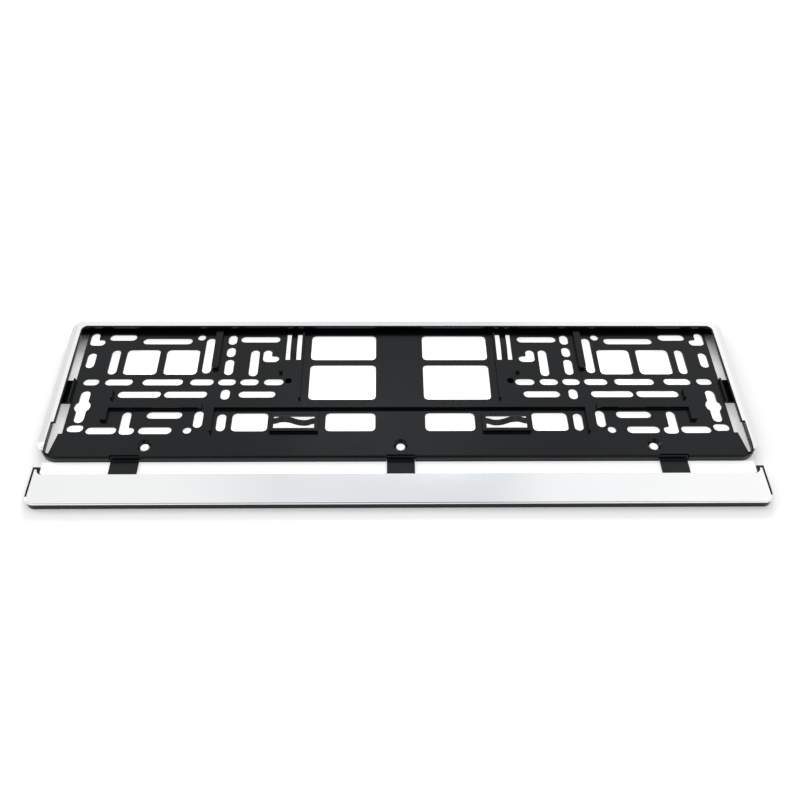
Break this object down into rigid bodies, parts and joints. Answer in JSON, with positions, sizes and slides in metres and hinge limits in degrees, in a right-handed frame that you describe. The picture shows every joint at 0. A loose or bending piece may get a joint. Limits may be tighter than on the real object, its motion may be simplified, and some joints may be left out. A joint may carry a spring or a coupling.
{
  "type": "number plate holder",
  "caption": "Flat black moulded car number plate holder with a pierced back panel, bright-faced lipped rim and a hinged closing bar along its lower edge.",
  "frame": {"origin": "centre of the footprint with the closing bar folded out, on the surface that the back lies on", "axes": "+X along the plate to its right, +Y up the plate, +Z out of the plate's face"},
  "size_m": [0.53, 0.173, 0.012],
  "materials": {
    "black_plastic": "satin moulded black",
    "bright_trim": "mirror-bright plated plastic"
  },
  "bodies": {
    "base": {"base_panel": "black_plastic", "rim_trim": "bright_trim"},
    "straps": {"strap_left": "black_plastic", "strap_centre": "black_plastic", "strap_right": "black_plastic"},
    "bar": {"bar_shell": "black_plastic", "bar_trim": "bright_trim"}
  },
  "joints": [
    {"name": "strap_fold", "type": "hinge", "parent": "base", "child": "straps", "pos_m": [0, -0.04535, 0.00465], "axis": [-1, 0, 0], "range_deg": [0, 180]},
    {"name": "bar_fold", "type": "hinge", "parent": "straps", "child": "bar", "pos_m": [0, -0.06385, 0.001], "axis": [1, 0, 0], "range_deg": [0, 180]}
  ],
  "couplings": [
    {"joint": "bar_fold", "follows": "strap_fold", "ratio": 1}
  ]
}
